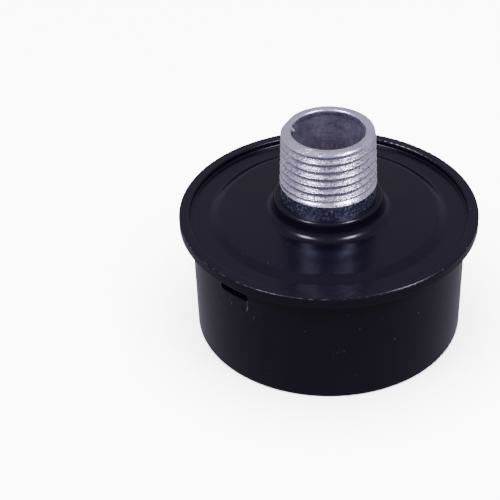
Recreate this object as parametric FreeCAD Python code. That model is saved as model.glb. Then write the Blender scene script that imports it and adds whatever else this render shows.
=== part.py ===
import FreeCAD, Part
import math
import os

os.makedirs("parts", exist_ok=True)

# Intake filter-muffler of a small air compressor, in millimetres.
# +Z runs up the threaded nipple, and the origin is the centre of the face that the cup stands on.
# Air enters through the slots in the cup's floor, crosses the pleated paper from outside to inside
# and leaves through the nipple. The head lifts off the cup to change the cartridge.

# --- driving dimensions: cup -------------------------------------------------
cup_mouth_r = 30.3            # outside radius at the mouth
cup_draft = 0.4               # the cup is this much smaller in radius at the bottom
cup_height = 26.7             # the head's flange rests on the mouth at this height
cup_wall = 1.6
cup_bottom_round = 0.7
cup_inside_fillet = 0.8
floor_thickness = 1.4
foot_height = 0.6             # the cup stands on a ring, clear of the air inlets
foot_width = 1.7
inlet_count = 12
inlet_width = 3.0
inlet_length = 5.0
inlet_margin = 1.7            # floor left between an inlet and the foot ring
plug_height = 2.6             # boss that closes the cartridge's lower hole
plug_wall = 1.4
plug_edge_round = 0.5
pry_slot_length = 7.8
pry_slot_height = 1.6
pry_slot_drop = 3.7           # from the mouth down to the slot's middle
pry_slot_angles = (-131.5, 48.5)      # degrees about +Z from +X: one on each side

# --- driving dimensions: head ------------------------------------------------
flange_overhang = 2.7         # beyond the cup's mouth
rim_height = 2.3
rim_width = 2.3
rim_draft = 0.1
rim_round = 0.35
annulus_width = 4.5           # flat ring between the step and the rim
annulus_thickness = 1.6
annulus_top = 1.0             # above the flange's seat
disc_top = 1.9                # above the flange's seat, at the step
disc_crown = 0.55             # the disc rises this much towards the hub
disc_thickness = 1.6
step_width = 2.0              # the disc slopes down to the annulus over this width
step_round = 1.6
hub_wall = 0.5                # plastic outside the nipple's anchor
hub_draft = 0.35
hub_height = 6.5              # above the flange's seat
hub_edge_round = 0.8
hub_foot_round = 2.2
skirt_length = 5.5
skirt_wall = 1.3
skirt_gap = 0.15              # radial, between the skirt and the cup's mouth
pry_notch_margin = 1.1        # the skirt is notched this far round each pry slot
collar_depth = 3.0            # ring that centres the cartridge under the disc
collar_wall = 1.2
edge_round = 0.2              # smallest rounding on moulded edges
inside_fillet = 0.3           # smallest fillet in moulded corners

# --- driving dimensions: nipple ----------------------------------------------
wall_under_thread = 1.06      # from the bore to the thread's root at the small end
shank_wall = 2.4
shank_length = 3.2            # plain length that shows above the hub
buried_wall = 1.9             # the nipple is thinner inside the hub, below the shank's shoulder
thread_length = 13.1
thread_pitch = 25.4 / 14      # 14 threads to the inch
thread_gauge_r = 20.955 / 2   # major radius at the gauge plane of a 1/2 inch pipe thread
gauge_length = 8.2            # from the small end to the gauge plane
thread_taper = 1 / 32         # radius lost per length
thread_depth = 0.640 * thread_pitch
thread_flat = thread_pitch / 6
thread_half_angle = 27.5
thread_end_round = 0.12
groove_overshoot = 0.15       # the groove's cutter stands this far out of the thread
lip_chamfer = 0.9
lip_round = 0.3
bore_chamfer = 0.35
anchor_width = 1.6            # flatted collar that the hub is moulded round
anchor_flat_width = 0.9       # what is left of it at the middle of a flat
anchor_height = 1.8
anchor_drop = 0.5             # nipple left below the collar
lip_thickness = 0.8           # plastic under the nipple's lower end
lip_clearance = 0.4           # that plastic stays this far back from the bore

# --- driving dimensions: cartridge -------------------------------------------
cartridge_r = 19.5
cartridge_hole_r = 7.8
cartridge_gap = 0.3           # radial, to the collar
plug_gap = 0.15               # radial, to the plug
seal_gap = 0.05               # between the upper ring and the disc
upper_ring_height = 3.5
lower_ring_height = 4.6
ring_edge_round = 0.9
ring_hole_round = 0.5
channel_depth = 1.6           # the rings hold the ends of the pleats in a channel
channel_lip = 0.7
channel_inner_wall = 1.7      # between the hole and the channel
channel_gap = 0.1
pleat_count = 58
paper_thickness = 0.3
seam_depth = 3.5              # radial depth of the glue that joins the paper's two ends
seam_inset = 0.2
seam_pleat = 41               # gap between pleats that holds the glue

# --- places that follow from them --------------------------------------------
seat_z = cup_height
floor_z = foot_height + floor_thickness
cup_foot_r = cup_mouth_r - cup_draft
foot_inner_r = cup_foot_r - foot_width
inlet_middle_r = foot_inner_r - inlet_margin - inlet_length / 2
pry_slot_z = seat_z - pry_slot_drop
flange_r = cup_mouth_r + flange_overhang
step_outer_r = flange_r - rim_width - annulus_width
step_inner_r = step_outer_r - step_width
disc_under_z = seat_z + disc_top - disc_thickness
annulus_under_z = seat_z + annulus_top - annulus_thickness
hub_top_z = seat_z + hub_height
nipple_low_z = disc_under_z + lip_thickness
thread_low_z = hub_top_z + shank_length
nipple_top_z = thread_low_z + thread_length
thread_end_r = thread_gauge_r - gauge_length * thread_taper
bore_r = thread_end_r - thread_depth - wall_under_thread
shank_r = bore_r + shank_wall
buried_r = bore_r + buried_wall
anchor_r = buried_r + anchor_width
anchor_flat_r = buried_r + anchor_flat_width
hub_r = anchor_r + hub_wall
cup_taper = cup_draft / cup_height
cartridge_low_z = floor_z
cartridge_top_z = disc_under_z - seal_gap
channel_inner_r = cartridge_hole_r + channel_inner_wall
channel_outer_r = cartridge_r - channel_lip
pleat_inner_r = channel_inner_r + channel_gap
paper_outer_r = channel_outer_r - channel_gap
paper_low_z = cartridge_low_z + lower_ring_height - channel_depth
paper_top_z = cartridge_top_z - upper_ring_height + channel_depth
plug_r = cartridge_hole_r - plug_gap
far = 4 * flange_r            # longer than anything that is cut


def vec(x, y, z):
    return FreeCAD.Vector(x, y, z)


def polar(radius, angle, z):
    return vec(radius * math.cos(angle), radius * math.sin(angle), z)


def cup_inner_r(z):
    return cup_foot_r - cup_wall + cup_taper * z


# Closed face in the XZ plane. A corner is (radius from the axis, height, rounding), and
# a rounding takes at most this share of the shorter side beside its corner.
side_share = 0.49


def section(corners):
    count = len(corners)
    points = [vec(r, 0, z) for r, z, rounding in corners]
    starts = []
    arcs = []
    ends = []
    for i in range(count):
        corner = points[i]
        rounding = corners[i][2]
        if rounding == 0:
            starts.append(corner)
            arcs.append(None)
            ends.append(corner)
            continue
        back = points[i - 1] - corner
        ahead = points[(i + 1) % count] - corner
        half = back.getAngle(ahead) / 2
        reach = min(rounding / math.tan(half), side_share * min(back.Length, ahead.Length))
        rounding = reach * math.tan(half)
        back.normalize()
        ahead.normalize()
        middle = (back + ahead).normalize() * (rounding / math.sin(half) - rounding)
        start = corner + back * reach
        end = corner + ahead * reach
        starts.append(start)
        arcs.append(Part.Arc(start, corner + middle, end).toShape())
        ends.append(end)
    edges = []
    for i in range(count):
        gap_start = ends[i - 1]
        if gap_start.distanceToPoint(starts[i]) > 1e-7:
            edges.append(Part.makeLine(gap_start, starts[i]))
        if arcs[i] is not None:
            edges.append(arcs[i])
    return Part.Face(Part.Wire(edges))


def turned(corners):
    return section(corners).revolve(vec(0, 0, 0), vec(0, 0, 1), 360)


# Bar with round ends, lying along X and centred on the origin, from z = 0 up.
def round_bar(length, width, height):
    half = length / 2 - width / 2
    body = Part.makeBox(2 * half, width, height, vec(-half, -width / 2, 0))
    for x in (-half, half):
        body = body.fuse(Part.makeCylinder(width / 2, height, vec(x, 0, 0)))
    return body.removeSplitter()


# Cutter that goes through the wall at each pry slot, grown by a margin all round.
def pry_cutters(margin, down=0):
    cutters = []
    length = pry_slot_length + 2 * margin
    height = pry_slot_height + 2 * margin
    for angle in pry_slot_angles:
        bar = round_bar(length, height, flange_r)
        if down:
            drop = Part.makeBox(length, down, flange_r, vec(-length / 2, -down, 0))
            bar = bar.fuse(drop)
        bar.rotate(vec(0, 0, 0), vec(1, 0, 0), 90)
        bar.rotate(vec(0, 0, 0), vec(0, 0, 1), 90)
        bar.translate(vec(0, 0, pry_slot_z))
        bar.rotate(vec(0, 0, 0), vec(0, 0, 1), angle)
        cutters.append(bar)
    return cutters


# --- cup ---------------------------------------------------------------------
def make_cover_cup():
    plug_top_z = floor_z + plug_height
    cup = turned([
        (foot_inner_r, 0, edge_round),
        (cup_foot_r, 0, cup_bottom_round),
        (cup_mouth_r, cup_height, edge_round),
        (cup_mouth_r - cup_wall, cup_height, edge_round),
        (cup_inner_r(floor_z), floor_z, cup_inside_fillet),
        (plug_r, floor_z, 0),
        (plug_r, plug_top_z, plug_edge_round),
        (0, plug_top_z, 0),
        (0, plug_top_z - plug_wall, 0),
        (plug_r - plug_wall, plug_top_z - plug_wall, 0),
        (plug_r - plug_wall, foot_height, edge_round),
        (foot_inner_r, foot_height, inside_fillet),
    ])
    for i in range(inlet_count):
        inlet = round_bar(inlet_length, inlet_width, far)
        inlet.translate(vec(inlet_middle_r, 0, -far / 2))
        inlet.rotate(vec(0, 0, 0), vec(0, 0, 1), 360 * (i + 0.5) / inlet_count)
        cup = cup.cut(inlet)
    for cutter in pry_cutters(0):
        cup = cup.cut(cutter)
    return cup


# --- nipple ------------------------------------------------------------------
def make_thread_groove():
    # The groove is swept along a cone's helix from past the small end, then turned end for end.
    lead_in = thread_pitch
    small_r = thread_end_r - lead_in * thread_taper
    half_root = thread_flat / 2
    slope = math.tan(math.radians(thread_half_angle))
    half_mouth = half_root + (thread_depth + groove_overshoot) * slope
    helix_height = lead_in + thread_length - thread_pitch / 2
    taper_angle = math.degrees(math.atan(thread_taper))
    helix = Part.makeLongHelix(thread_pitch, helix_height, small_r, taper_angle)
    root_r = small_r - thread_depth
    mouth_r = small_r + groove_overshoot
    outline = Part.makePolygon([
        vec(root_r, 0, -half_root),
        vec(mouth_r, 0, -half_mouth),
        vec(mouth_r, 0, half_mouth),
        vec(root_r, 0, half_root),
        vec(root_r, 0, -half_root),
    ])
    groove = Part.Wire(helix.Edges).makePipeShell([outline], True, True)
    groove.translate(vec(0, 0, -lead_in))
    groove.rotate(vec(0, 0, 0), vec(1, 0, 0), 180)
    groove.translate(vec(0, 0, nipple_top_z))
    return groove


def make_anchor():
    low_z = nipple_low_z + anchor_drop
    corner_r = anchor_flat_r / math.cos(math.pi / 6)
    corners = [polar(corner_r, math.radians(60 * i), low_z) for i in range(7)]
    prism = Part.Face(Part.makePolygon(corners)).extrude(vec(0, 0, anchor_height))
    return prism.common(Part.makeCylinder(anchor_r, anchor_height, vec(0, 0, low_z)))


def make_nipple_blank():
    thread_large_r = thread_end_r + thread_length * thread_taper
    chamfer_r = thread_end_r + lip_chamfer * thread_taper
    top = turned([
        (bore_r, nipple_low_z, 0),
        (buried_r, nipple_low_z, 0),
        (buried_r, hub_top_z, 0),
        (shank_r, hub_top_z, 0),
        (shank_r, thread_low_z, 0),
        (thread_large_r, thread_low_z, thread_end_round),
        (chamfer_r, nipple_top_z - lip_chamfer, lip_round),
        (thread_end_r - lip_chamfer, nipple_top_z, lip_round),
        (bore_r + bore_chamfer, nipple_top_z, 0),
        (bore_r, nipple_top_z - bore_chamfer, 0),
    ])
    anchor = make_anchor().cut(Part.makeCylinder(bore_r, far, vec(0, 0, 0)))
    return top.fuse(anchor).removeSplitter()


# --- head --------------------------------------------------------------------
def make_base_plate(nipple_blank):
    disc_z = seat_z + disc_top
    annulus_z = seat_z + annulus_top
    rim_top_z = seat_z + rim_height
    rim_inner_r = flange_r - rim_width
    skirt_low_z = seat_z - skirt_length
    skirt_top_r = cup_inner_r(seat_z) - skirt_gap
    skirt_low_r = cup_inner_r(skirt_low_z) - skirt_gap
    collar_inner_r = cartridge_r + cartridge_gap
    collar_outer_r = collar_inner_r + collar_wall
    collar_low_z = disc_under_z - collar_depth
    skirt_inner_top_r = skirt_top_r - skirt_wall
    under_step_r = (skirt_inner_top_r + collar_outer_r) / 2
    lip_r = bore_r + lip_clearance
    plate = turned([
        (buried_r, hub_top_z, 0),
        (hub_r, hub_top_z, hub_edge_round),
        (hub_r + hub_draft, disc_z + disc_crown, hub_foot_round),
        (step_inner_r, disc_z, step_round),
        (step_outer_r, annulus_z, step_round),
        (rim_inner_r - rim_draft, annulus_z, inside_fillet),
        (rim_inner_r, rim_top_z, rim_round),
        (flange_r, rim_top_z, rim_round),
        (flange_r, seat_z, edge_round),
        (skirt_top_r, seat_z, 0),
        (skirt_low_r, skirt_low_z, edge_round),
        (skirt_low_r - skirt_wall, skirt_low_z, edge_round),
        (skirt_inner_top_r, annulus_under_z, inside_fillet),
        (under_step_r, annulus_under_z, inside_fillet),
        (under_step_r, disc_under_z, inside_fillet),
        (collar_outer_r, disc_under_z, inside_fillet),
        (collar_outer_r, collar_low_z, edge_round),
        (collar_inner_r, collar_low_z, edge_round),
        (collar_inner_r, disc_under_z, 0),
        (lip_r, disc_under_z, 0),
        (lip_r, nipple_low_z, 0),
        (buried_r, nipple_low_z, 0),
    ])
    plate = plate.cut(nipple_blank)
    for cutter in pry_cutters(pry_notch_margin, down=far):
        plate = plate.cut(cutter)
    return plate


# --- cartridge ---------------------------------------------------------------
def make_end_ring(flat_z, height, direction):
    # The flat face is at flat_z, and the channel opens the other way.
    open_z = flat_z + direction * height
    channel_z = open_z - direction * channel_depth
    return turned([
        (cartridge_hole_r, flat_z, ring_hole_round),
        (cartridge_r, flat_z, ring_edge_round),
        (cartridge_r, open_z, edge_round),
        (channel_outer_r, open_z, 0),
        (channel_outer_r, channel_z, 0),
        (channel_inner_r, channel_z, 0),
        (channel_inner_r, open_z, 0),
        (cartridge_hole_r, open_z, edge_round),
    ])


# Point on one side of a fold's wall. Walls stand at equal angles, two to each pleat.
def wall_point(wall, radius, side):
    angle = math.pi / pleat_count * wall + side * paper_thickness / 2 / radius
    return polar(radius, angle, paper_low_z)


def make_pleated_paper():
    outside = []
    inside = []
    valley_r = pleat_inner_r + paper_thickness
    crest_r = paper_outer_r - paper_thickness
    for first in range(0, 2 * pleat_count, 2):
        outside.append(wall_point(first, paper_outer_r, -1))
        outside.append(wall_point(first + 1, paper_outer_r, 1))
        outside.append(wall_point(first + 1, valley_r, 1))
        outside.append(wall_point(first + 2, valley_r, -1))
        inside.append(wall_point(first, crest_r, 1))
        inside.append(wall_point(first + 1, crest_r, -1))
        inside.append(wall_point(first + 1, pleat_inner_r, -1))
        inside.append(wall_point(first + 2, pleat_inner_r, 1))
    outer_face = Part.Face(Part.makePolygon(outside + outside[:1]))
    inner_face = Part.Face(Part.makePolygon(inside + inside[:1]))
    band = outer_face.cut(inner_face)
    return band.extrude(vec(0, 0, paper_top_z - paper_low_z))


def make_paper_seam():
    # Glue in one of the gaps that open outwards; its sides lie on the two walls beside it.
    wall = 2 * seam_pleat + 1
    valley_r = pleat_inner_r + paper_thickness
    sides = []
    for number, side in ((wall, 1), (wall + 1, -1)):
        outer = wall_point(number, paper_outer_r, side)
        inner = wall_point(number, valley_r, side)
        run = outer.distanceToPoint(inner)
        along = (inner - outer).normalize()
        sides.append((outer + along * seam_inset, outer + along * min(seam_depth, run)))
    (outer_a, inner_a), (outer_b, inner_b) = sides
    loop = Part.makePolygon([outer_a, inner_a, inner_b, outer_b, outer_a])
    return Part.Face(loop).extrude(vec(0, 0, paper_top_z - paper_low_z))


nipple_blank = make_nipple_blank()
parts = {
    "cover_cup": make_cover_cup(),
    "base_plate": make_base_plate(nipple_blank),
    "threaded_nipple": nipple_blank.cut(make_thread_groove()),
    "end_ring_lower": make_end_ring(cartridge_low_z, lower_ring_height, 1),
    "end_ring_upper": make_end_ring(cartridge_top_z, upper_ring_height, -1),
    "pleated_paper": make_pleated_paper(),
    "paper_seam": make_paper_seam(),
}
for name, shape in parts.items():
    shape.exportStep("parts/" + name + ".step")
    print(name, len(shape.Solids), "solid,", round(shape.Volume, 1), "mm3, valid", shape.isValid())
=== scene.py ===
import math
import random

import bmesh
import bpy
from mathutils import Euler, Matrix, Vector, noise


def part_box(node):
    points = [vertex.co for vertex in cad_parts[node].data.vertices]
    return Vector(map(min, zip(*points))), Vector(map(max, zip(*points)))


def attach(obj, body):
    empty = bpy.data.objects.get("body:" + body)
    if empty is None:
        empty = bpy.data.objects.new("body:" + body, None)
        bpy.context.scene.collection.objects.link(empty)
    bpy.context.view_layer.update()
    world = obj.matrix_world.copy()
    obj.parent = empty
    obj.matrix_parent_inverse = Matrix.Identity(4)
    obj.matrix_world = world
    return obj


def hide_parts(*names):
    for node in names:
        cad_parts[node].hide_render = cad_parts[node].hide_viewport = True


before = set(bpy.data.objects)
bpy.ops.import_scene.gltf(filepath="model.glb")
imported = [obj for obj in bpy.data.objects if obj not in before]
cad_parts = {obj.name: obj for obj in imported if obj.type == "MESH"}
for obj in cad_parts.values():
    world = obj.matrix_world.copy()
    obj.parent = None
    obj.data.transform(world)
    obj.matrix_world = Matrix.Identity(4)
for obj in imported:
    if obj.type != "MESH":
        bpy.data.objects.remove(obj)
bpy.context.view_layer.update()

# the dictionaries give sizes in millimetres, angles in degrees, and a bump as its strength and its depth
mm = 0.001
inch = 25.4
fullTurn = 2 * math.pi
noiseSpread = (0.3, 0.7)    # most of a noise texture's values lie between these


def smoothStep(value, low, high):
    t = min(1, max(0, (value - low) / (high - low)))
    return t * t * (3 - 2 * t)


def polar(radius, angle, z):
    return Vector((radius * math.cos(angle), radius * math.sin(angle), z))


def angleOf(point):
    return math.atan2(point.y, point.x)


# smallest signed turn from one angle to another
def turnBetween(start, end):
    return math.remainder(end - start, fullTurn)


def newVerts(geometry):
    return [item for item in geometry if isinstance(item, bmesh.types.BMVert)]


def newEdges(geometry):
    return [item for item in geometry if isinstance(item, bmesh.types.BMEdge)]


# chain of edges in the XZ plane; a corner is (radius, height, rounding)
def outline(bm, corners, closed, segments=4):
    verts = [bm.verts.new((r * mm, 0, z * mm)) for r, z, rounding in corners]
    for a, b in zip(verts, verts[1:]):
        bm.edges.new((a, b))
    if closed:
        bm.edges.new((verts[-1], verts[0]))
    for vert, (r, z, rounding) in zip(verts, corners):
        if rounding:
            a, b = [(edge.other_vert(vert).co - vert.co).normalized() for edge in vert.link_edges]
            reach = rounding * mm / math.tan(a.angle(b) / 2)
            bmesh.ops.bevel(bm, geom=[vert], offset=reach, affect='VERTICES', segments=segments,
                            profile=0.5, material=-1)


# spins one slice, and turned copies of it close the circle, which is much quicker than one long spin
def spinRound(bm, steps, slices=8, mergeWithin=0.001):
    part = fullTurn / slices
    bmesh.ops.spin(bm, geom=bm.verts[:] + bm.edges[:], cent=(0, 0, 0), axis=(0, 0, 1), angle=part,
                   steps=steps // slices, use_merge=False)
    first = bm.verts[:] + bm.edges[:] + bm.faces[:]
    for i in range(1, slices):
        copy = bmesh.ops.duplicate(bm, geom=first)["geom"]
        bmesh.ops.rotate(bm, verts=newVerts(copy), cent=(0, 0, 0), matrix=Matrix.Rotation(i * part, 3, 'Z'))
    bmesh.ops.remove_doubles(bm, verts=bm.verts, dist=mergeWithin * mm)


def pieceFrom(bm, name, material, body, slot, *nodes):
    bmesh.ops.recalc_face_normals(bm, faces=bm.faces)
    mesh = bpy.data.meshes.new(name)
    bm.to_mesh(mesh)
    bm.free()
    mesh.materials.append(material)
    mesh.shade_smooth()
    piece = bpy.data.objects.new(name, mesh)
    bpy.context.scene.collection.objects.link(piece)
    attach(piece, body)
    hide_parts(*nodes)
    print(name, len(mesh.polygons), "faces")
    return piece


def newMaterial(name):
    material = bpy.data.materials.new(name)
    material.use_nodes = True
    tree = material.node_tree
    shader = tree.nodes["Principled BSDF"]
    coords = tree.nodes.new("ShaderNodeTexCoord").outputs["Object"]
    return material, tree, shader, coords


def grain(tree, coords, scale, detail=3, stretch=(1, 1, 1)):
    mapping = tree.nodes.new("ShaderNodeMapping")
    mapping.inputs["Scale"].default_value = stretch
    tree.links.new(coords, mapping.inputs["Vector"])
    texture = tree.nodes.new("ShaderNodeTexNoise")
    texture.inputs["Scale"].default_value = scale
    texture.inputs["Detail"].default_value = detail
    texture.inputs["Roughness"].default_value = 0.55
    tree.links.new(mapping.outputs["Vector"], texture.inputs["Vector"])
    return texture.outputs["Fac"]


def remap(tree, value, fromLow, fromHigh, toLow, toHigh):
    node = tree.nodes.new("ShaderNodeMapRange")
    node.inputs["From Min"].default_value = fromLow
    node.inputs["From Max"].default_value = fromHigh
    node.inputs["To Min"].default_value = toLow
    node.inputs["To Max"].default_value = toHigh
    tree.links.new(value, node.inputs["Value"])
    return node.outputs["Result"]


# low and high are colours or sockets
def blendColors(tree, factor, low, high):
    node = tree.nodes.new("ShaderNodeMix")
    node.data_type = 'RGBA'
    tree.links.new(factor, node.inputs["Factor"])
    for socket, color in ((node.inputs[6], low), (node.inputs[7], high)):
        if isinstance(color, tuple):
            socket.default_value = (*color, 1)
        else:
            tree.links.new(color, socket)
    return node.outputs[2]


def arithmetic(tree, operation, a, b):
    node = tree.nodes.new("ShaderNodeMath")
    node.operation = operation
    for socket, value in ((node.inputs[0], a), (node.inputs[1], b)):
        if isinstance(value, (int, float)):
            socket.default_value = value
        else:
            tree.links.new(value, socket)
    return node.outputs["Value"]


# distance from the nipple's axis
def radiusOf(tree, coords):
    flatten = tree.nodes.new("ShaderNodeVectorMath")
    flatten.operation = 'MULTIPLY'
    flatten.inputs[1].default_value = (1, 1, 0)
    tree.links.new(coords, flatten.inputs[0])
    length = tree.nodes.new("ShaderNodeVectorMath")
    length.operation = 'LENGTH'
    tree.links.new(flatten.outputs["Vector"], length.inputs[0])
    return length.outputs["Value"]


def heightOf(tree, coords):
    node = tree.nodes.new("ShaderNodeSeparateXYZ")
    tree.links.new(coords, node.inputs["Vector"])
    return node.outputs["Z"]


def distanceTo(tree, coords, point):
    node = tree.nodes.new("ShaderNodeVectorMath")
    node.operation = 'DISTANCE'
    node.inputs[1].default_value = point
    tree.links.new(coords, node.inputs[0])
    return node.outputs["Value"]


# coordinates that are the same all the way round, for turned surfaces
def aroundAxis(tree, coords):
    node = tree.nodes.new("ShaderNodeCombineXYZ")
    tree.links.new(radiusOf(tree, coords), node.inputs["X"])
    tree.links.new(heightOf(tree, coords), node.inputs["Z"])
    return node.outputs["Vector"]


# distance from the circle of a given radius and height round the axis
def edgeDistance(tree, coords, radius, z):
    offset = tree.nodes.new("ShaderNodeCombineXYZ")
    tree.links.new(arithmetic(tree, 'SUBTRACT', radiusOf(tree, coords), radius), offset.inputs["X"])
    tree.links.new(arithmetic(tree, 'SUBTRACT', heightOf(tree, coords), z), offset.inputs["Z"])
    return distanceTo(tree, offset.outputs["Vector"], (0, 0, 0))


def bump(tree, height, strength, depth, under=None):
    node = tree.nodes.new("ShaderNodeBump")
    node.inputs["Strength"].default_value = strength
    node.inputs["Distance"].default_value = depth * mm
    tree.links.new(height, node.inputs["Height"])
    if under is not None:
        tree.links.new(under, node.inputs["Normal"])
    return node.outputs["Normal"]


# light that soaks into paper, glue and rubber, further in one colour than in another
def glow(shader, weight, radius, scale):
    shader.inputs["Subsurface Weight"].default_value = weight
    shader.inputs["Subsurface Radius"].default_value = radius
    shader.inputs["Subsurface Scale"].default_value = scale * mm


# the head and the cup keep their shape, and get moulded black plastic
housing = {
    "dark": (0.0022, 0.0015, 0.0050),
    "light": (0.0040, 0.0029, 0.0086),
    "dustAndGlint": (0.20, 0.19, 0.25),
    "roughness": (0.18, 0.28),
    "dustAndGlintRoughness": 0.3,       # added where there is dust and scuffing, and along the worn edge with its painted glint
    "ior": 1.33,
    "cloudScale": 60,
    "streakScale": 520,
    "headStreak": (1, 1, 0.3),
    "cupStreak": (1, 1, 0.05),  # draw marks run up the wall
    "streakBump": (0.10, 0.04),
    "grainScale": 5200,
    "grainBump": (0.08, 0.02),
    "speckScale": 1300,
    "headSpecks": 0.815,        # a higher level leaves fewer specks of dust
    "cupSpecks": 0.785,
    "speckFade": 0.04,
    "speckStrength": 0.6,
    "rimHeight": 2.3,           # above the cup's mouth
    # worn line with a painted glint along the outer edge of the rim and of the mouth
    "wornGlintWidth": 0.24,
    "wornGlintCore": 0.4,            # share of the width that is at full strength
    "wornGlintScale": 700,
    "wornGlintGaps": (0.50, 0.66),
    "wornGlintStrength": 0.34,
    # rubbed places on the cup: angle, height, size
    "scuffs": [(-124, 20.6, 3.2), (-131, 20.9, 2.4), (-86, 11.5, 2.2)],
    "scuffCore": 0.3,
    "scratchScale": 1500,
    "scratchStretch": (1, 1, 0.22),
    "scratchGaps": (0.58, 0.70),
    "scratchStrength": 0.5,
}


def makeBlackPlastic(name, streakStretch, speckLevel, wornGlintRadius, wornGlintHeight, scuffs):
    look = housing
    material, tree, shader, coords = newMaterial(name)
    cloud = grain(tree, coords, look["cloudScale"], 4)
    streak = grain(tree, coords, look["streakScale"], 3, streakStretch)
    specks = grain(tree, coords, look["speckScale"], 1)
    fine = grain(tree, coords, look["grainScale"], 2)
    base = blendColors(tree, cloud, look["dark"], look["light"])
    dustMarksAndGlint = remap(tree, specks, speckLevel, speckLevel + look["speckFade"], 0, look["speckStrength"])

    # broken pale line along the edge: rubbed wear, with a painted glint where the edge catches the light
    line = remap(tree, edgeDistance(tree, coords, wornGlintRadius, wornGlintHeight),
                 look["wornGlintWidth"] * look["wornGlintCore"] * mm, look["wornGlintWidth"] * mm, 1, 0)
    gaps = grain(tree, coords, look["wornGlintScale"], 3)
    broken = remap(tree, gaps, *look["wornGlintGaps"], 0, look["wornGlintStrength"])
    dustMarksAndGlint = arithmetic(tree, 'MAXIMUM', dustMarksAndGlint, arithmetic(tree, 'MULTIPLY', line, broken))

    scratches = remap(tree, grain(tree, coords, look["scratchScale"], 2, look["scratchStretch"]),
                      *look["scratchGaps"], 0, look["scratchStrength"])
    for angle, z, size in scuffs:
        point = polar(wornGlintRadius, math.radians(angle), z * mm)
        near = remap(tree, distanceTo(tree, coords, point), size * look["scuffCore"] * mm, size * mm, 1, 0)
        dustMarksAndGlint = arithmetic(tree, 'MAXIMUM', dustMarksAndGlint, arithmetic(tree, 'MULTIPLY', near, scratches))
    tree.links.new(blendColors(tree, dustMarksAndGlint, base, look["dustAndGlint"]), shader.inputs["Base Color"])

    mixed = arithmetic(tree, 'ADD', arithmetic(tree, 'MULTIPLY', cloud, 0.5),
                       arithmetic(tree, 'MULTIPLY', streak, 0.5))
    rough = arithmetic(tree, 'ADD', remap(tree, mixed, *noiseSpread, *look["roughness"]),
                       arithmetic(tree, 'MULTIPLY', dustMarksAndGlint, look["dustAndGlintRoughness"]))
    tree.links.new(rough, shader.inputs["Roughness"])
    shader.inputs["IOR"].default_value = look["ior"]
    normal = bump(tree, streak, *look["streakBump"])
    normal = bump(tree, fine, *look["grainBump"], normal)
    tree.links.new(normal, shader.inputs["Normal"])
    return material


def dressNode(node, material):
    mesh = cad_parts[node].data
    mesh.materials.clear()
    mesh.materials.append(material)


def dressHousing():
    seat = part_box("cover_cup")[1]
    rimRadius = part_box("base_plate")[1].x
    rimTop = seat.z + housing["rimHeight"] * mm
    dressNode("base_plate", makeBlackPlastic("headPlastic", housing["headStreak"], housing["headSpecks"],
                                             rimRadius, rimTop, []))
    dressNode("cover_cup", makeBlackPlastic("cupPlastic", housing["cupStreak"], housing["cupSpecks"],
                                            seat.x, seat.z, housing["scuffs"]))
    print("housing dressed")


nipple = {
    "threadsPerInch": 14,
    "threadLength": 13.1,
    "smallRadius": 10.221,      # crest at the small end
    "taper": 1 / 32,
    "depth": 1.16,
    "flat": 0.24,
    "edgeRound": 0.05,
    "stepsPerTurn": 176,
    "spareTurns": 3,            # cut off again above and below
    "threadStart": -35,
    "runOut": 1.6,              # the groove fades out over this height above the shank
    "ripple": 0.03,             # uneven plating
    "rippleScale": 900,
    "proud": 0.01,              # it stands out from the crest by no more than this
    "lipRound": 0.95,
    "lipRings": (0.04, 0.10, 0.18, 0.28, 0.45, 0.68, 0.95),
    # small knocks on the crests
    "nicks": 26,
    "nickSeed": 7,
    "nickMargins": (1, 0.5),    # from the thread's lower end and from the top
    "nickSizes": (0.3, 0.7),
    "nickDepths": (0.05, 0.16),
    "crestBand": 0.25,          # only what is less deep than this is knocked
    "shankRadius": 10.4,
    "shankLength": 3.2,
    "shankEdge": 0.10,
    "shankFlare": (0.06, 0.02),  # the thread meets the shank this much wider, this far down
    "shankRows": (0.35, 0.7, 1),
    "buriedRadius": 9.9,
    "collarRadius": 11.5,
    "collarFlats": 6,
    "collarFlat": 10.8,         # from the axis to a flat
    "collarHeight": 1.8,
    "collarDrop": 0.5,
    "boreRadius": 8.0,
    "boreRound": 0.55,
    "boreRoundRows": 5,
    "boreRows": 44,
    "beadAngle": 171,           # weld bead down the inside of the tube
    "beadHeight": 0.34,
    "beadWidth": 0.55,
    "beadMiddle": 0.75,         # its height varies about this share
    "beadRipple": 0.5,
    "beadRippleScale": 1.1,
    "blobHeight": 0.80,         # it ends in a blob under the lip
    "blobDrop": 1.35,
    "blobSpread": 0.50,
    "sharpAngle": 32,           # an edge that turns by more stays sharp
    "mergeWithin": 0.002,
    "bright": (0.95, 0.93, 1.0),
    "dull": (0.74, 0.71, 0.91),
    # painted shade for the thread's grooves, also the colour of its tool marks and pits
    "root": (0.20, 0.20, 0.27),
    "shankBright": (0.48, 0.52, 0.70),
    "shankDark": (0.16, 0.18, 0.28),
    "boreLight": (0.62, 0.62, 0.72),
    "boreDark": (0.36, 0.36, 0.45),
    "cloudScale": 260,
    "cloudRamp": (0.35, 0.65),
    "boreRamp": (0.35, 0.7),
    "speckleScale": 1900,
    "shankRamp": (0.48, 0.66),
    "pitRamp": (0.37, 0.45),
    "pitStrength": 0.7,
    "lineScale": 3600,          # tool marks round the thread
    "lineRamp": (0.34, 0.50),
    "lineStrength": 0.50,
    "grooveShadeRamp": (0.7, 0.95),  # shares of the thread's depth
    "grooveShadeStrength": 0.8,
    "lipFade": 1.3,             # the painted groove shade and the dark tool marks and pits set in by this many lip heights from the top
    "borderFade": 0.1,          # one finish turns into the next over about this
    "boreDrops": (0.9, 1.6),    # the bore's finish sets in between these distances from the top
    "blobBand": (0.55, 0.40),   # the blob is bright where it rises by this much from the bore
    "roughness": (0.18, 0.34),
    "boreRoughness": 0.18,      # added in the bore
    "shankRoughness": 0.12,
    "lineBump": (0.60, 0.06),
    "speckleBump": (0.60, 0.09),
    "grainScale": 5200,
    "grainBump": (0.30, 0.03),
}
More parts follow.
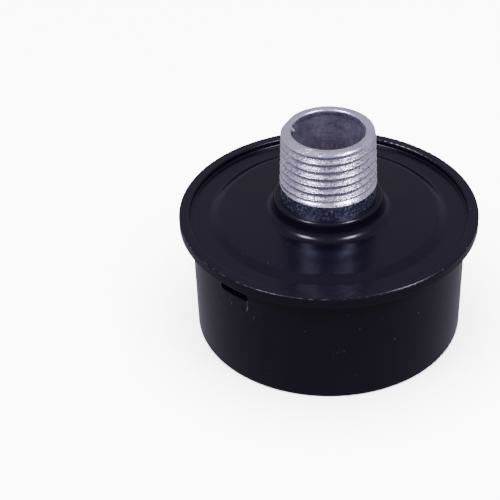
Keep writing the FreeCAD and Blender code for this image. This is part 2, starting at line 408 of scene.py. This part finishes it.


# zinc plating: bright on the thread with painted shade in its grooves, duller and speckled on the shank and
# in the bore
def makeZinc(topZ, shankTop):
    look = nipple
    material, tree, shader, coords = newMaterial("zincPlatedSteel")
    cloud = grain(tree, coords, look["cloudScale"], 4)
    speckle = grain(tree, coords, look["speckleScale"], 2)
    fine = grain(tree, coords, look["grainScale"], 2)
    lines = grain(tree, aroundAxis(tree, coords), look["lineScale"], 2)
    height = heightOf(tree, coords)
    radius = radiusOf(tree, coords)

    thread = blendColors(tree, remap(tree, cloud, *look["cloudRamp"], 0, 1), look["dull"], look["bright"])
    below = arithmetic(tree, 'SUBTRACT', topZ, height)
    spread = arithmetic(tree, 'MULTIPLY', below, look["taper"])
    crest = arithmetic(tree, 'ADD', spread, look["smallRadius"] * mm)
    depth = arithmetic(tree, 'SUBTRACT', crest, radius)
    shallow, deep = [look["depth"] * share * mm for share in look["grooveShadeRamp"]]
    # painted shade: darker the deeper a point lies below the crest
    grooveShade = remap(tree, depth, shallow, deep, 0, look["grooveShadeStrength"])
    underLip = remap(tree, below, look["lipRound"] * mm, look["lipRound"] * look["lipFade"] * mm, 0, 1)
    cutLines = remap(tree, lines, *look["lineRamp"], look["lineStrength"], 0)
    pits = remap(tree, speckle, *look["pitRamp"], look["pitStrength"], 0)
    shadeAndMarks = arithmetic(tree, 'MAXIMUM', arithmetic(tree, 'MAXIMUM', grooveShade, cutLines), pits)
    shadeAndMarks = arithmetic(tree, 'MULTIPLY', shadeAndMarks, underLip)
    color = blendColors(tree, shadeAndMarks, thread, look["root"])

    fade = look["borderFade"] * mm
    onShank = remap(tree, height, shankTop - fade, shankTop + fade, 1, 0)
    shank = blendColors(tree, remap(tree, speckle, *look["shankRamp"], 0, 1),
                        look["shankDark"], look["shankBright"])
    color = blendColors(tree, onShank, color, shank)
    boreEdge = (look["boreRadius"] + look["boreRound"] * 0.5) * mm
    boreTop, boreFull = [drop * mm for drop in look["boreDrops"]]
    inBore = arithmetic(tree, 'MULTIPLY', remap(tree, radius, boreEdge, boreEdge + fade, 1, 0),
                        remap(tree, below, boreTop, boreFull, 0, 1))
    bore = blendColors(tree, remap(tree, cloud, *look["boreRamp"], 0, 1),
                       look["boreDark"], look["boreLight"])
    blobTop, blobFoot = [(look["boreRadius"] - rise) * mm for rise in look["blobBand"]]
    bore = blendColors(tree, remap(tree, radius, blobTop, blobFoot, 1, 0), bore, look["bright"])
    color = blendColors(tree, inBore, color, bore)
    tree.links.new(color, shader.inputs["Base Color"])

    shader.inputs["Metallic"].default_value = 1.0
    dullness = arithmetic(tree, 'ADD', arithmetic(tree, 'MULTIPLY', inBore, look["boreRoughness"]),
                          arithmetic(tree, 'MULTIPLY', onShank, look["shankRoughness"]))
    rough = arithmetic(tree, 'ADD', remap(tree, speckle, *noiseSpread, *look["roughness"]), dullness)
    tree.links.new(rough, shader.inputs["Roughness"])
    normal = bump(tree, lines, *look["lineBump"])
    normal = bump(tree, speckle, *look["speckleBump"], normal)
    normal = bump(tree, fine, *look["grainBump"], normal)
    tree.links.new(normal, shader.inputs["Normal"])
    return material


# one pitch of the thread is wound once round, and lifted copies of it stack up the nipple
def windThread(bm, threadZ, largeRadius):
    spec = nipple
    pitch = inch / spec["threadsPerInch"]
    half = spec["flat"] / 2
    rootRadius = largeRadius - spec["depth"]
    startZ = threadZ - spec["spareTurns"] / 2 * pitch
    outline(bm, [
        (rootRadius, startZ, 0),
        (rootRadius, startZ + half, spec["edgeRound"]),
        (largeRadius, startZ + pitch / 2 - half, spec["edgeRound"]),
        (largeRadius, startZ + pitch / 2 + half, spec["edgeRound"]),
        (rootRadius, startZ + pitch - half, spec["edgeRound"]),
        (rootRadius, startZ + pitch, 0),
    ], False, 3)
    bmesh.ops.spin(bm, geom=bm.verts[:] + bm.edges[:], cent=(0, 0, 0), axis=(0, 0, 1),
                   dvec=(0, 0, pitch * mm / spec["stepsPerTurn"]), angle=fullTurn,
                   steps=spec["stepsPerTurn"], use_merge=False)
    first = bm.verts[:] + bm.edges[:] + bm.faces[:]
    for i in range(1, math.ceil(spec["threadLength"] / pitch) + spec["spareTurns"]):
        copy = bmesh.ops.duplicate(bm, geom=first)["geom"]
        bmesh.ops.translate(bm, verts=newVerts(copy), vec=(0, 0, i * pitch * mm))
    bmesh.ops.remove_doubles(bm, verts=bm.verts, dist=spec["mergeWithin"] * mm)
    bmesh.ops.rotate(bm, verts=bm.verts, cent=(0, 0, 0),
                     matrix=Matrix.Rotation(math.radians(spec["threadStart"]), 3, 'Z'))


def cutAcross(bm, z, side, clear):
    onPlane = 0.0001 * mm    # nearer than this counts as on the cut
    bmesh.ops.bisect_plane(bm, geom=bm.verts[:] + bm.edges[:] + bm.faces[:], dist=onPlane,
                           plane_co=(0, 0, z * mm), plane_no=(0, 0, side), clear_outer=clear)


# taper, run-out above the shank, rounded lip, and the small knocks of use
def shapeThread(bm, topZ, threadZ, largeRadius):
    spec = nipple
    dice = random.Random(spec["nickSeed"])
    fromLow, fromTop = spec["nickMargins"]
    nicks = []
    for i in range(spec["nicks"]):
        nicks.append((dice.uniform(0, fullTurn), dice.uniform(threadZ + fromLow, topZ - fromTop),
                      dice.uniform(*spec["nickSizes"]), dice.uniform(*spec["nickDepths"])))
    for vert in bm.verts:
        z = vert.co.z / mm
        angle = angleOf(vert.co)
        radius = math.hypot(vert.co.x, vert.co.y) / mm
        drop = topZ - z
        cut = (largeRadius - radius) * smoothStep(z, threadZ, threadZ + spec["runOut"])
        cut += spec["ripple"] * noise.noise(vert.co * spec["rippleScale"])
        for nickAngle, nickZ, size, depth in nicks:
            away = math.hypot(turnBetween(nickAngle, angle) * radius, z - nickZ) / size
            if away < 1 and cut < spec["crestBand"]:
                cut += depth * (1 - away * away)
        radius = spec["smallRadius"] + drop * spec["taper"] - max(cut, -spec["proud"])
        if drop < spec["lipRound"]:
            part = 1 - drop / spec["lipRound"]
            lip = spec["smallRadius"] - spec["lipRound"] * (1 - math.sqrt(max(0, 1 - part * part)))
            radius = min(radius, lip)
        vert.co = polar(radius * mm, angle, vert.co.z)


def even(radius):
    return lambda angle: radius


def flatted(angle):
    side = fullTurn / nipple["collarFlats"]
    within = (angle % side) - side / 2
    return min(nipple["collarRadius"], nipple["collarFlat"] / math.cos(within))


# the bore with its weld bead, at one height
def bored(z, topZ):
    spec = nipple

    def radiusAt(angle):
        turn = turnBetween(math.radians(spec["beadAngle"]), angle) * spec["boreRadius"]
        bead = math.exp(-(turn / spec["beadWidth"]) ** 2)
        wander = noise.noise(Vector((angle, 0, z * spec["beadRippleScale"])))
        ripple = spec["beadMiddle"] + spec["beadRipple"] * wander
        blob = spec["blobHeight"] * math.exp(-((topZ - z - spec["blobDrop"]) / spec["blobSpread"]) ** 2)
        return spec["boreRadius"] - (spec["beadHeight"] * ripple + blob) * bead
    return radiusAt


def buildNipple():
    spec = nipple
    low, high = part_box("threaded_nipple")
    topZ = high.z / mm
    lowZ = low.z / mm
    threadZ = topZ - spec["threadLength"]
    largeRadius = spec["smallRadius"] + spec["threadLength"] * spec["taper"]
    bm = bmesh.new()
    windThread(bm, threadZ, largeRadius)
    cutAcross(bm, topZ, 1, True)
    cutAcross(bm, threadZ, -1, True)
    for drop in spec["lipRings"]:
        cutAcross(bm, topZ - drop, 1, False)
    shapeThread(bm, topZ, threadZ, largeRadius)

    def openLoop(z):
        return [edge for edge in bm.edges if edge.is_boundary
                and all(abs(vert.co.z / mm - z) < spec["mergeWithin"] for vert in edge.verts)]

    # the rest of the tube, from the thread's lower end round to its top
    topLoop = openLoop(topZ)
    loop = openLoop(threadZ)
    collarLow = lowZ + spec["collarDrop"]
    collarHigh = collarLow + spec["collarHeight"]
    hubTop = threadZ - spec["shankLength"]
    shank, buried = spec["shankRadius"], spec["buriedRadius"]
    wider, down = spec["shankFlare"]
    path = [(even(shank + wider), threadZ - down), (even(shank), threadZ - spec["shankEdge"])]
    path += [(even(shank), threadZ - spec["shankLength"] * part) for part in spec["shankRows"]]
    path += [(even(buried), hubTop), (even(buried), collarHigh), (flatted, collarHigh), (flatted, collarLow),
             (even(buried), collarLow), (even(buried), lowZ), (bored(lowZ, topZ), lowZ)]
    for i in range(1, spec["boreRows"] + 1):
        z = lowZ + (topZ - spec["boreRound"] - lowZ) * i / spec["boreRows"]
        path.append((bored(z, topZ), z))
    for i in range(1, spec["boreRoundRows"] + 1):
        turn = math.pi / 2 * i / spec["boreRoundRows"]
        radius = spec["boreRadius"] + spec["boreRound"] * (1 - math.cos(turn))
        path.append((even(radius), topZ - spec["boreRound"] * (1 - math.sin(turn))))
    for radiusAt, z in path:
        grown = bmesh.ops.extrude_edge_only(bm, edges=loop)["geom"]
        for vert in newVerts(grown):
            angle = angleOf(vert.co)
            vert.co = polar(radiusAt(angle) * mm, angle, z * mm)
        loop = newEdges(grown)
    bmesh.ops.bridge_loops(bm, edges=loop + topLoop)
    zinc = makeZinc(high.z, threadZ * mm)
    piece = pieceFrom(bm, "nipple", zinc, "head", "nipple_steel", "threaded_nipple")
    piece.data.set_sharp_from_angle(angle=math.radians(spec["sharpAngle"]))


paper = {
    "pleats": 58,
    "tipRadius": 18.95,
    "foldRadius": 9.80,
    "tipWidth": 0.50,
    "foldWidth": 0.34,
    "foldRound": 0.16,
    "thickness": 0.24,
    "wallAtLeast": 2,           # a longer edge in plan is a pleat's wall
    "wallCuts": 5,
    "rows": 12,
    "mergeWithin": 0.01,
    "embed": 1.7,               # the paper stands this far in each ring
    "gapSeed": 21,
    "uneven": 0.20,             # the gaps differ by this share of a pleat
    "seamWider": 0.55,          # and the seam's gap is wider by this share
    "tipSeed": 5,
    "tipScatter": 0.35,         # a tip stands back by up to this
    "sway": 0.016,              # sideways lean of the tips, in radians
    "swayRound": 6,             # how quickly it changes round the ring, and up the wall
    "swayUp": 0.10,
    "push": 0.20,               # and in and out
    "pushScale": 1.7,
    "shade": (0.86, 0.68, 0.40),
    "cream": (0.98, 0.87, 0.60),
    "fibre": (1.0, 0.95, 0.78),
    "cloudScale": 160,
    "fibreScale": 1400,
    "fibreStretch": (1, 1, 0.25),
    "fibreRamp": (0.35, 0.65),
    "fibreStrength": 0.35,
    "fibreBump": (0.35, 0.08),
    "grainScale": 3800,
    "grainBump": (0.2, 0.03),
    "roughness": 0.85,
    "glow": (0.5, (1.0, 0.8, 0.55), 2.0),
}


# angles of the outer tips, uneven as gathered pleats are, from one side of the wide seam gap to the other
def tipAngles():
    low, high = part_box("paper_seam")
    dice = random.Random(paper["gapSeed"])
    gaps = [1 + dice.uniform(-paper["uneven"], paper["uneven"]) for i in range(paper["pleats"] - 1)]
    gaps.append(1 + paper["seamWider"])
    unit = fullTurn / sum(gaps)
    angle = angleOf((low + high) / 2) + gaps[-1] * unit / 2
    angles = []
    for gap in gaps:
        angles.append(angle)
        angle += gap * unit
    return angles


# number of the gap that an angle falls in, and how far along the gap it is
def placeIn(tips, angle):
    for i, start in enumerate(tips):
        width = (tips[(i + 1) % len(tips)] - start) % fullTurn
        along = (angle - start) % fullTurn
        if along <= width:
            return i, along / width
    return 0, 0    # rounding can put an angle between two gaps


def makeFilterPaper():
    look = paper
    material, tree, shader, coords = newMaterial("creamFilterPaper")
    cloud = grain(tree, coords, look["cloudScale"], 3)
    fibres = grain(tree, coords, look["fibreScale"], 3, look["fibreStretch"])
    fine = grain(tree, coords, look["grainScale"], 2)
    base = blendColors(tree, cloud, look["shade"], look["cream"])
    threads = remap(tree, fibres, *look["fibreRamp"], 0, look["fibreStrength"])
    tree.links.new(blendColors(tree, threads, base, look["fibre"]), shader.inputs["Base Color"])
    shader.inputs["Roughness"].default_value = look["roughness"]
    glow(shader, *look["glow"])
    normal = bump(tree, fibres, *look["fibreBump"])
    normal = bump(tree, fine, *look["grainBump"], normal)
    tree.links.new(normal, shader.inputs["Normal"])
    return material


def buildPaper(tips):
    spec = paper
    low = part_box("end_ring_lower")[1].z / mm - spec["embed"]
    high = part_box("end_ring_upper")[0].z / mm + spec["embed"]
    step = fullTurn / spec["pleats"]
    tipTurn = spec["tipWidth"] / 2 / spec["tipRadius"]
    foldTurn = spec["foldWidth"] / 2 / spec["foldRadius"]
    bm = bmesh.new()
    # one pleat in plan, copied round the circle
    outer, inner = spec["tipRadius"], spec["foldRadius"]
    corners = [(outer, -tipTurn), (outer, tipTurn), (inner, step / 2 - foldTurn),
               (inner, step / 2 + foldTurn), (outer, step - tipTurn)]
    verts = [bm.verts.new(polar(radius * mm, angle, low * mm)) for radius, angle in corners]
    for pair in zip(verts, verts[1:]):
        bm.edges.new(pair)
    bmesh.ops.spin(bm, geom=bm.verts[:] + bm.edges[:], cent=(0, 0, 0), axis=(0, 0, 1),
                   angle=fullTurn, steps=spec["pleats"], use_duplicate=True, use_merge=False)
    bmesh.ops.remove_doubles(bm, verts=bm.verts, dist=spec["mergeWithin"] * mm)
    bmesh.ops.bevel(bm, geom=bm.verts[:], offset=spec["foldRound"] * mm, affect='VERTICES', segments=2,
                    profile=0.5, material=-1)
    walls = [edge for edge in bm.edges if edge.calc_length() > spec["wallAtLeast"] * mm]
    bmesh.ops.subdivide_edges(bm, edges=walls, cuts=spec["wallCuts"])
    edges = bm.edges[:]
    for row in range(spec["rows"]):
        grown = bmesh.ops.extrude_edge_only(bm, edges=edges)["geom"]
        lifted = set(newVerts(grown))
        bmesh.ops.translate(bm, verts=list(lifted), vec=(0, 0, (high - low) / spec["rows"] * mm))
        edges = [edge for edge in newEdges(grown) if lifted.issuperset(edge.verts)]

    # the pleats stand unevenly, and their walls wander a little
    dice = random.Random(spec["tipSeed"])
    scatter = [dice.uniform(0, spec["tipScatter"]) for tip in tips]
    for vert in bm.verts:
        radius = math.hypot(vert.co.x, vert.co.y) / mm
        place = (angleOf(vert.co) % fullTurn) / step
        number = int(place) % spec["pleats"]
        width = (tips[(number + 1) % spec["pleats"]] - tips[number]) % fullTurn
        angle = tips[number] + width * (place - int(place))
        outward = smoothStep(radius, inner, outer)
        nearest = round(place) % spec["pleats"]
        z = vert.co.z / mm
        turned = polar(spec["swayRound"], angle, z * spec["swayUp"])
        angle += spec["sway"] * outward * noise.noise(turned)
        radius += outward * (spec["push"] * noise.noise(turned * spec["pushScale"]) - scatter[nearest])
        vert.co = polar(min(radius, outer) * mm, angle, vert.co.z)
    bmesh.ops.recalc_face_normals(bm, faces=bm.faces)
    bmesh.ops.solidify(bm, geom=bm.faces[:], thickness=spec["thickness"] * mm)
    pieceFrom(bm, "pleats", makeFilterPaper(), "cartridge", "filter_paper", "pleated_paper")


glue = {
    "outerRadius": 18.3,
    "depth": 3.2,
    "edgeRound": 0.25,
    "rows": 14,
    "ripple": 0.35,
    "rippleScale": 500,
    "rippleSeed": 4,
    "overlap": 0.10,            # the glue runs this far into the paper on each side
    "dark": (0.72, 0.58, 0.34),
    "light": (0.86, 0.76, 0.55),
    "cloudScale": 500,
    "cloudBump": (0.4, 0.2),
    "roughness": (0.28, 0.42),
    "glow": (0.3, (1.0, 0.2, 0.1), 1.0),
}


def makeGlue():
    look = glue
    material, tree, shader, coords = newMaterial("seamGlue")
    cloud = grain(tree, coords, look["cloudScale"], 3)
    tree.links.new(blendColors(tree, cloud, look["dark"], look["light"]), shader.inputs["Base Color"])
    tree.links.new(remap(tree, cloud, *noiseSpread, *look["roughness"]), shader.inputs["Roughness"])
    glow(shader, *look["glow"])
    tree.links.new(bump(tree, cloud, *look["cloudBump"]), shader.inputs["Normal"])
    return material


# fills the seam gap between its two walls of paper
def buildSeam(tips):
    spec = glue
    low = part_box("end_ring_lower")[1].z / mm - paper["embed"]
    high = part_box("end_ring_upper")[0].z / mm + paper["embed"]
    width = (tips[0] - tips[-1]) % fullTurn
    middle = tips[0] - width / 2
    tipTurn = paper["tipWidth"] / 2 / paper["tipRadius"]
    foldTurn = paper["foldWidth"] / 2 / paper["foldRadius"]

    def halfTurn(radius):
        part = (radius - paper["foldRadius"]) / (paper["tipRadius"] - paper["foldRadius"])
        return foldTurn + (width / 2 - tipTurn - foldTurn) * part + spec["overlap"] / radius

    outer, inner = spec["outerRadius"], spec["outerRadius"] - spec["depth"]
    bm = bmesh.new()
    verts = [bm.verts.new(polar(radius * mm, middle + side * halfTurn(radius), low * mm))
             for radius, side in ((outer, -1), (outer, 1), (inner, 1), (inner, -1))]
    loop = [bm.edges.new(pair) for pair in zip(verts, verts[1:] + verts[:1])]
    for row in range(spec["rows"]):
        grown = bmesh.ops.extrude_edge_only(bm, edges=loop)["geom"]
        lifted = newVerts(grown)
        bmesh.ops.translate(bm, verts=lifted, vec=(0, 0, (high - low) / spec["rows"] * mm))
        loop = [edge for edge in newEdges(grown) if set(edge.verts).issubset(lifted)]
    bmesh.ops.holes_fill(bm, edges=[edge for edge in bm.edges if edge.is_boundary], sides=len(verts))
    uprights = [edge for edge in bm.edges if edge.verts[0].co.z != edge.verts[1].co.z]
    bmesh.ops.bevel(bm, geom=uprights, offset=spec["edgeRound"] * mm, affect='EDGES', segments=3,
                    profile=0.5, material=-1)
    for vert in bm.verts:
        radius = math.hypot(vert.co.x, vert.co.y) / mm
        wander = Vector((vert.co.z * spec["rippleScale"], radius, spec["rippleSeed"]))
        radius += spec["ripple"] * noise.noise(wander)
        vert.co = polar(radius * mm, angleOf(vert.co), vert.co.z)
    pieceFrom(bm, "seamGlue", makeGlue(), "cartridge", "seam_glue", "paper_seam")


ring = {
    "holeRadius": 7.8,
    "stepsPerPleat": 8,
    # flat face with its shallow dished band: distance from the hole, depth below the face, rounding
    "innerFace": [(0, 0, 0.5), (1.7, 0.02, 0), (2.6, 0.40, 0.8), (4.6, 0.40, 0.8), (5.6, 0, 0.5),
                  (6.4, 0.10, 0.5)],
    # the rest of it: distance from the outside, depth, rounding
    "outerFace": [(2.2, 0.14, 0), (0, 0.16, 0.9)],
    # face with the paper: distance from the outside, depth above the brim, rounding
    "outerBrim": [(0, 0.90, 0), (0.12, 0.35, 0.1), (0.75, 0.40, 0), (2.2, 0.50, 0), (5.0, 0.55, 0)],
    # the rest of it, from the hole
    "innerBrim": [(2.6, 0.50, 0), (1.2, 0.20, 0.3), (0, 0, 0.4)],
    # the rubber climbs between the pleats, unevenly
    "upperWave": 0.5,
    "upperSeed": 31,
    "lowerWave": 1.5,
    "lowerSeed": 47,
    "waveLifts": (0.55, 1.35),  # each gap's share of the wave
    "wavePower": 1.2,           # above 1 the rubber stands in peaks
    "waveSink": 0.25,           # share of the wave that it sinks at a pleat's tip
    "waveDepths": (0.2, 1.6),   # it fades out between these distances from the brim
    "waveFromHole": 1.9,
    "waveOutside": 0.45,        # share of the wave left at the outside
    "waveEdge": (0.02, 0.7),
    "uneven": 0.04,
    "faceUneven": 0.012,
    "faceBand": 0.6,            # nearer than this to the flat face it is smoother
    "unevenScale": 160,
    "deep": (0.92, 0.070, 0.002),
    "bright": (1.0, 0.115, 0.004),
    "pit": (0.50, 0.045, 0.010),
    "cloudScale": 120,
    "cloudBump": (0.25, 0.3),
    "poreScale": 1700,
    "poreRamp": (0.74, 0.80),
    "poreStrength": 0.5,
    "grainScale": 4200,
    "grainBump": (0.12, 0.04),
    "roughness": (0.34, 0.46),
    "glow": (0.12, (1.0, 0.25, 0.08), 1.2),
}


def makePolyurethane():
    look = ring
    material, tree, shader, coords = newMaterial("orangePolyurethane")
    cloud = grain(tree, coords, look["cloudScale"], 3)
    pores = grain(tree, coords, look["poreScale"], 2)
    fine = grain(tree, coords, look["grainScale"], 2)
    base = blendColors(tree, cloud, look["deep"], look["bright"])
    pitted = remap(tree, pores, *look["poreRamp"], 0, look["poreStrength"])
    tree.links.new(blendColors(tree, pitted, base, look["pit"]), shader.inputs["Base Color"])
    tree.links.new(remap(tree, cloud, *noiseSpread, *look["roughness"]), shader.inputs["Roughness"])
    glow(shader, *look["glow"])
    normal = bump(tree, cloud, *look["cloudBump"])
    normal = bump(tree, fine, *look["grainBump"], normal)
    tree.links.new(normal, shader.inputs["Normal"])
    return material


# side is 1 where the flat face is the upper one, and -1 where it is the lower one
def buildRing(name, node, tips, side, wave, material, seed):
    spec = ring
    low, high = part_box(node)
    outer = high.x / mm
    hole = spec["holeRadius"]
    flat = (high.z if side > 0 else low.z) / mm
    brim = (low.z if side > 0 else high.z) / mm
    corners = [(hole + x, flat - side * depth, rounding) for x, depth, rounding in spec["innerFace"]]
    corners += [(outer - x, flat - side * depth, rounding) for x, depth, rounding in spec["outerFace"]]
    corners += [(outer, (flat + brim) / 2, 0)]
    corners += [(outer - x, brim + side * depth, rounding) for x, depth, rounding in spec["outerBrim"]]
    corners += [(hole + x, brim + side * depth, rounding) for x, depth, rounding in spec["innerBrim"]]
    bm = bmesh.new()
    outline(bm, corners, True)
    spinRound(bm, paper["pleats"] * spec["stepsPerPleat"])
    dice = random.Random(seed)
    lifts = [dice.uniform(*spec["waveLifts"]) for tip in tips]
    outside = spec["waveOutside"]
    shares = {}
    for vert in bm.verts:
        z = vert.co.z / mm
        radius = math.hypot(vert.co.x, vert.co.y) / mm
        toBrim = 1 - smoothStep(abs(z - brim), *spec["waveDepths"])
        if radius > hole + spec["waveFromHole"] and toBrim > 0:
            key = round(angleOf(vert.co), 4)    # one key for all that stands at one angle
            if key not in shares:
                shares[key] = placeIn(tips, key)
            gap, along = shares[key]
            between = min(along, 1 - along)
            climb = wave * (lifts[gap] * (2 * between) ** spec["wavePower"] - spec["waveSink"])
            climb *= outside + (1 - outside) * smoothStep(outer - radius, *spec["waveEdge"])
            z -= side * climb * toBrim
        roughen = spec["uneven"] if abs(z - flat) > spec["faceBand"] else spec["faceUneven"]
        across = vert.co * spec["unevenScale"]
        z += roughen * noise.noise(Vector((across.x, across.y, seed)))
        vert.co.z = z * mm
    pieceFrom(bm, name, material, "cartridge", "ring_polyurethane", node)


def buildCartridge():
    tips = tipAngles()
    rubber = makePolyurethane()
    buildPaper(tips)
    buildSeam(tips)
    buildRing("upperRing", "end_ring_upper", tips, 1, ring["upperWave"], rubber, ring["upperSeed"])
    buildRing("lowerRing", "end_ring_lower", tips, -1, ring["lowerWave"], rubber, ring["lowerSeed"])
    print("cartridge built")


# the floor, the lamps and the clipping are in metres, and the lamps' power in watts
studio = {
    "floorDark": (0.86, 0.86, 0.87),
    "floorLight": (0.90, 0.90, 0.90),
    "floorScale": 3,
    "floorRoughness": 0.9,
    "floorSize": 12.0,
    "floorCells": 8,
    "floorSun": 34,
    "floorSunSpread": 70,       # degrees, so that the shadow stays soft
    "airColor": (0.88, 0.80, 1.0),
    "airAbove": 0.54,
    "airBelow": 0.42,
    "airBand": (-0.35, 0.1),    # height of the change from one to the other, where 1 is straight up
    # name, azimuth from the front, elevation, distance, size, power
    "lamps": [
        ("leftBox", -52, 50, 0.75, 0.17, 6.2),
        ("rightBox", 52, 50, 0.75, 0.17, 6.2),
    ],
    "lampColor": (0.90, 0.86, 1.0),
    "cameraElevation": 35.6,
    "cameraDistance": 361.0,
    "aimHeight": 20.0,
    "lens": 116.0,
    "sensor": 36,
    "clip": (0.01, 20),
    "turnLeft": 2.78,           # puts the object right of the middle
    "tiltDown": 0.30,
}


def addLamp(name, azimuth, elevation, distance, size, power):
    data = bpy.data.lights.new(name, 'AREA')
    data.size = size
    data.energy = power
    lamp = bpy.data.objects.new(name, data)
    bpy.context.scene.collection.objects.link(lamp)
    a, e = math.radians(azimuth), math.radians(elevation)
    away = Vector((math.sin(a) * math.cos(e), -math.cos(a) * math.cos(e), math.sin(e)))
    lamp.location = Vector((0, 0, studio["aimHeight"] * mm)) + away * distance
    lamp.rotation_mode = 'QUATERNION'
    lamp.rotation_quaternion = away.to_track_quat('Z', 'Y')
    return lamp


def buildStudio():
    material, tree, shader, coords = newMaterial("paleFloor")
    cloud = grain(tree, coords, studio["floorScale"], 2)
    color = blendColors(tree, cloud, studio["floorDark"], studio["floorLight"])
    tree.links.new(color, shader.inputs["Base Color"])
    shader.inputs["Roughness"].default_value = studio["floorRoughness"]
    bm = bmesh.new()
    cells = studio["floorCells"]
    bmesh.ops.create_grid(bm, x_segments=cells, y_segments=cells, size=studio["floorSize"])
    mesh = bpy.data.meshes.new("floor")
    bm.to_mesh(mesh)
    bm.free()
    mesh.materials.append(material)
    floor = bpy.data.objects.new("floor", mesh)
    bpy.context.scene.collection.objects.link(floor)
    floor.visible_glossy = False      # black plastic would mirror a white floor as grey
    floor.visible_diffuse = False

    world = bpy.data.worlds.new("studioAir")
    bpy.context.scene.world = world
    world.use_nodes = True
    background = world.node_tree.nodes["Background"]
    background.inputs["Color"].default_value = (*studio["airColor"], 1)
    tree = world.node_tree
    direction = tree.nodes.new("ShaderNodeTexCoord").outputs["Generated"]
    strength = remap(tree, heightOf(tree, direction), *studio["airBand"],
                     studio["airBelow"], studio["airAbove"])
    tree.links.new(strength, background.inputs["Strength"])
    for settings in studio["lamps"]:
        lamp = addLamp(*settings)
        lamp.data.color = studio["lampColor"]
    # this one lights the floor only
    sun = bpy.data.lights.new("floorSun", 'SUN')
    sun.energy = studio["floorSun"]
    sun.angle = math.radians(studio["floorSunSpread"])
    wash = bpy.data.objects.new("floorSun", sun)
    bpy.context.scene.collection.objects.link(wash)
    floorOnly = bpy.data.collections.new("floorOnly")
    floorOnly.objects.link(floor)
    wash.light_linking.receiver_collection = floorOnly
    print("studio lit")


def buildCamera():
    data = bpy.data.cameras.new("camera")
    data.lens = studio["lens"]
    data.sensor_width = studio["sensor"]
    data.clip_start, data.clip_end = studio["clip"]
    camera = bpy.data.objects.new("camera", data)
    bpy.context.scene.collection.objects.link(camera)
    e = math.radians(studio["cameraElevation"])
    distance = studio["cameraDistance"] * mm
    camera.location = (0, -distance * math.cos(e), studio["aimHeight"] * mm + distance * math.sin(e))
    level = Euler((math.pi / 2 - e, 0, 0)).to_matrix()
    turn = Euler((math.radians(-studio["tiltDown"]), math.radians(studio["turnLeft"]), 0)).to_matrix()
    camera.rotation_euler = (level @ turn).to_euler()
    bpy.context.scene.camera = camera
    print("camera set")


dressHousing()
buildNipple()
buildCartridge()
buildStudio()
buildCamera()
